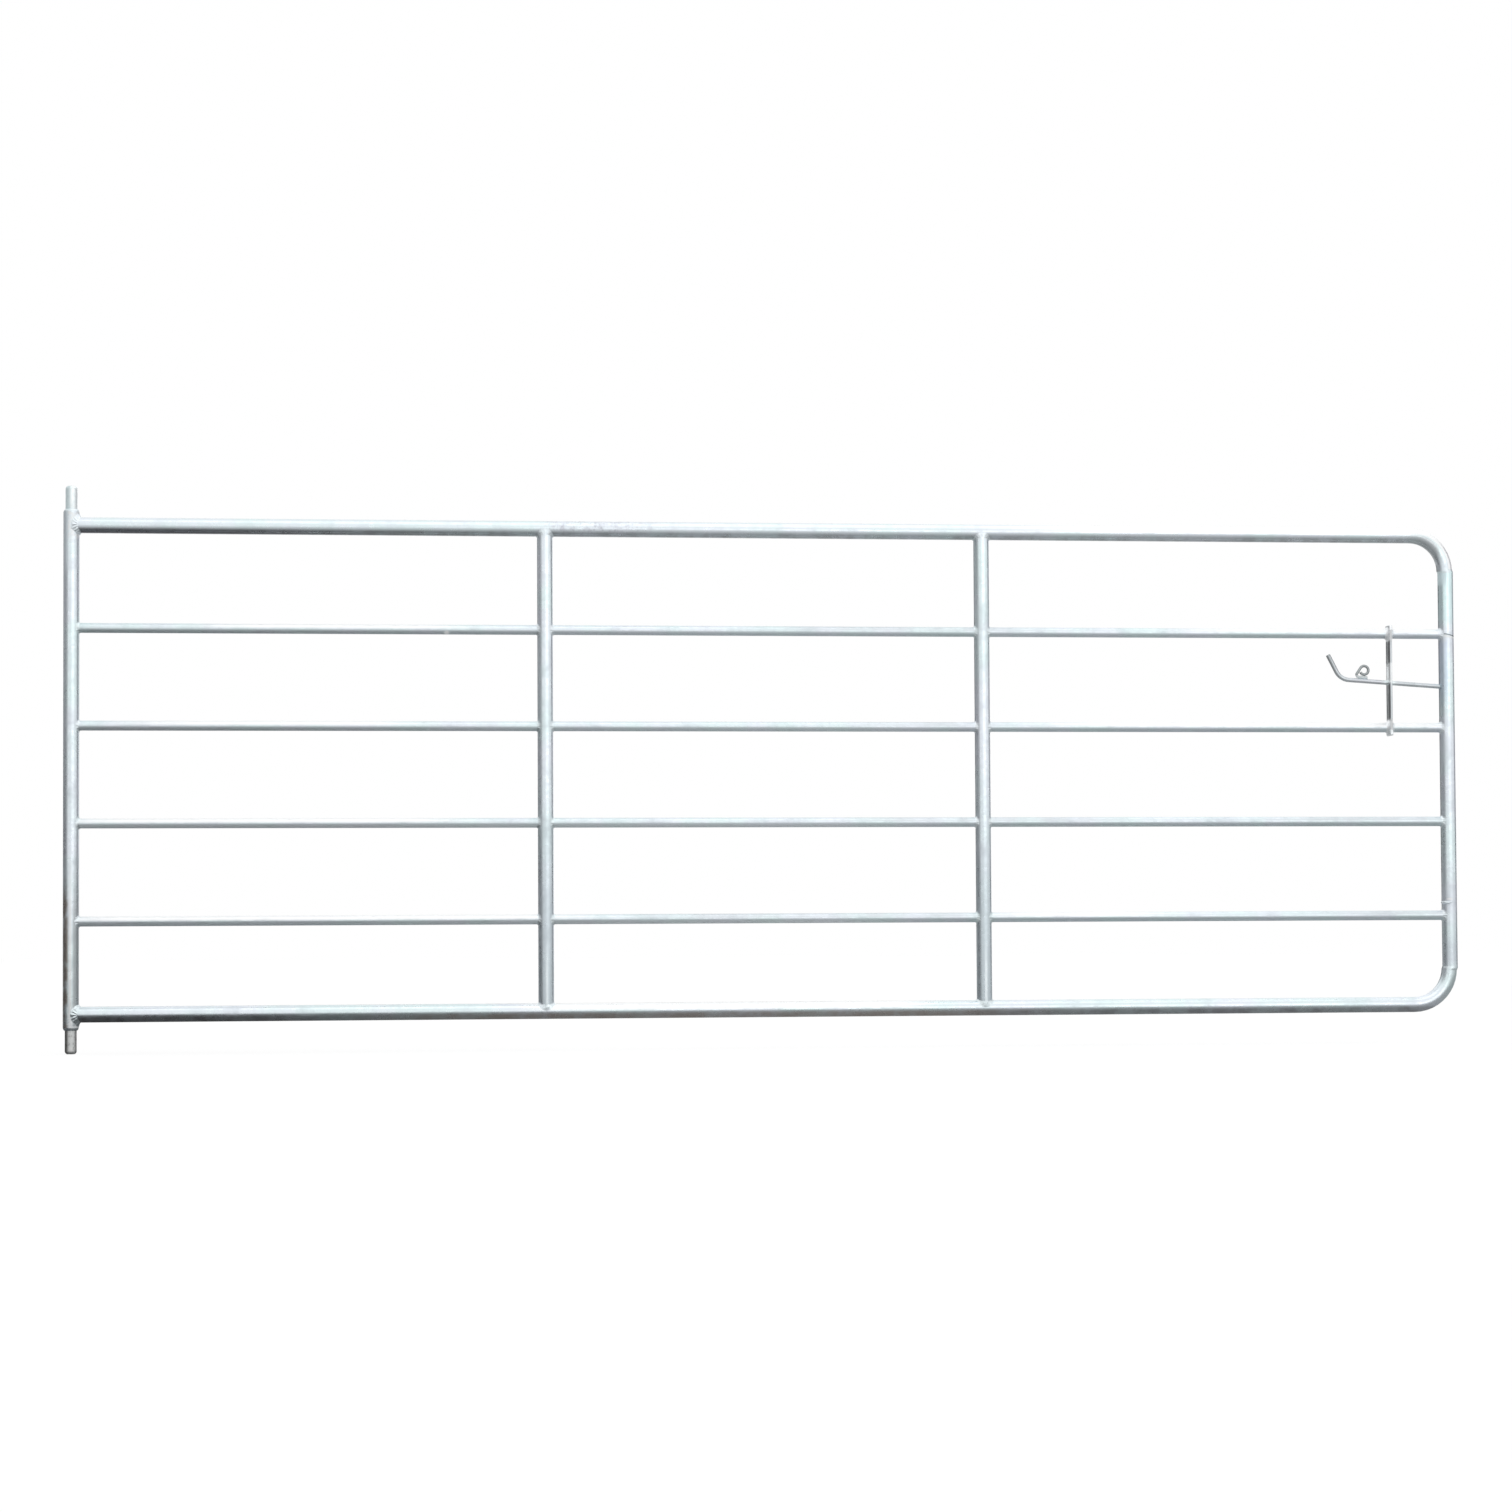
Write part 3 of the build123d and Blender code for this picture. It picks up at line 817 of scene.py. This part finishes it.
def cloth_shader(plane):
    """Makes a stage plane a matt cloth that only reflections meet, and gives the shader to colour it by."""
    plane.visible_camera = False
    plane.visible_shadow = False
    plane.visible_diffuse = False
    shader = plane.active_material.node_tree.nodes["Principled BSDF"]
    shader.inputs["Roughness"].default_value = 1.0
    shader.inputs["Specular IOR Level"].default_value = 0.0
    return shader


ground_length, ground_width, above_floor = 24, 16, 0.0004
ground = stage_plane(
    "ground_cloth", (ground_length, ground_width), (gate_middle, 0, floor_level + above_floor))
ground_place = place_on(ground.active_material)
along_gate = ground_length * ground_place.along("X")
from_gate = abs(ground_width * ground_place.along("Y"))
near_gate = along_gate.rises(-1.6, 0.3).colour_from((0.16, 0.165, 0.17, 1), (0.54, 0.55, 0.555, 1))
ground_shade = from_gate.rises(0.15, 2.6).colour_from(near_gate, (1.0, 1.0, 1.0, 1))
ground_shade.feed(cloth_shader(ground), "Base Color")

cloth_height, dark_below, pale_above = 9.0, 0.2, 3.2
side_on, facing = (0, math.radians(90), 0), (math.radians(90), 0, 0)


def hang_cloth(name, width, place, turn):
    """A cloth standing on the floor: its shader, how far up it is pale, and the way along it in metres."""
    size = (cloth_height, width) if turn == side_on else (width, cloth_height)
    plane = stage_plane(name, size, (*place, floor_level + cloth_height / 2), turn)
    on_cloth = place_on(plane.active_material)
    across, lengthways = on_cloth.along("X"), on_cloth.along("Y")
    height = cloth_height * (0.5 - across if turn == side_on else 0.5 + lengthways)
    along = width * (lengthways if turn == side_on else across)
    return cloth_shader(plane), height.rises(dark_below, pale_above), along


shader, pale, along = hang_cloth("left_cloth", 25, (-12, 0.5), side_on)
upper_shade = along.rises(1.5, 8.0).colour_from((0.80, 0.78, 0.80, 1), (1.0, 0.98, 1.0, 1))
left_shade = pale.colour_from((0.17, 0.17, 0.18, 1), upper_shade)
along.falls(-13.0, -2.0).colour_from(left_shade, (0.88, 0.88, 0.88, 1)).feed(shader, "Base Color")
for name, width, place, turn, low_shade, high_shade in (
        ("right_cloth", 12, (15, 7), side_on, (0.36, 0.36, 0.38, 1), (0.60, 0.57, 0.62, 1)),
        ("left_back_cloth", 24, (-17, 20), facing, (0.10, 0.10, 0.10, 1), (0.37, 0.365, 0.375, 1)),
        ("middle_back_cloth", 10, (0, 20), facing, (0.15, 0.15, 0.15, 1), (0.29, 0.305, 0.31, 1))):
    shader, pale, _ = hang_cloth(name, width, place, turn)
    pale.colour_from(low_shade, high_shade).feed(shader, "Base Color")

world = bpy.data.worlds.new("studio")
bpy.context.scene.world = world
world.use_nodes = True
world_light = 0.55
strength = world_light + (1 - world_light) * seen_directly(world.node_tree)
backdrop = strength.node("ShaderNodeBackground", None, {"Color": (1, 1, 1, 1), "Strength": strength})
backdrop.feed(world.node_tree.nodes["World Output"], "Surface")

aimed_at = Vector((gate_middle, 0, 0.55))
for name, place, size, power in (("top_softbox", (gate_middle + 0.7, -0.8, 4.5), (6, 3), 22),
                                 ("front_softbox", (5.0, -8.5, 2.2), (7, 4), 42)):
    bpy.ops.object.light_add(type="AREA", location=place)
    softbox = bpy.context.object
    softbox.name = name
    aim = aimed_at - Vector(place)
    softbox.rotation_euler = aim.to_track_quat("-Z", "Y").to_euler()
    softbox.data.shape = "RECTANGLE"
    softbox.data.size, softbox.data.size_y = size
    softbox.data.energy = power

# The camera: a long lens, low on the hinge side of the gate and turned a little towards its middle.
# Its lens is shifted up a little, as the gate stands above the middle of the picture.

frame_pixels = 1512
focal_pixels = 3000
axis_pixels_down = 850
camera_place = Vector((0.8266, -6.4979, 0.1781))
camera_yaw, camera_pitch, camera_roll = (math.radians(angle) for angle in (-5.618, 1.779, -0.316))
bpy.ops.object.camera_add()
camera = bpy.context.object
camera.data.lens = focal_pixels / frame_pixels * camera.data.sensor_width
camera.data.shift_y = axis_pixels_down / frame_pixels - 0.5
camera.data.clip_end = 200.0
turn = (Matrix.Rotation(camera_yaw, 4, "Z") @ Matrix.Rotation(math.radians(90) + camera_pitch, 4, "X")
        @ Matrix.Rotation(camera_roll, 4, "Z"))
camera.matrix_world = Matrix.Translation(camera_place) @ turn
bpy.context.scene.camera = camera
bpy.context.scene.view_settings.view_transform = "Standard"
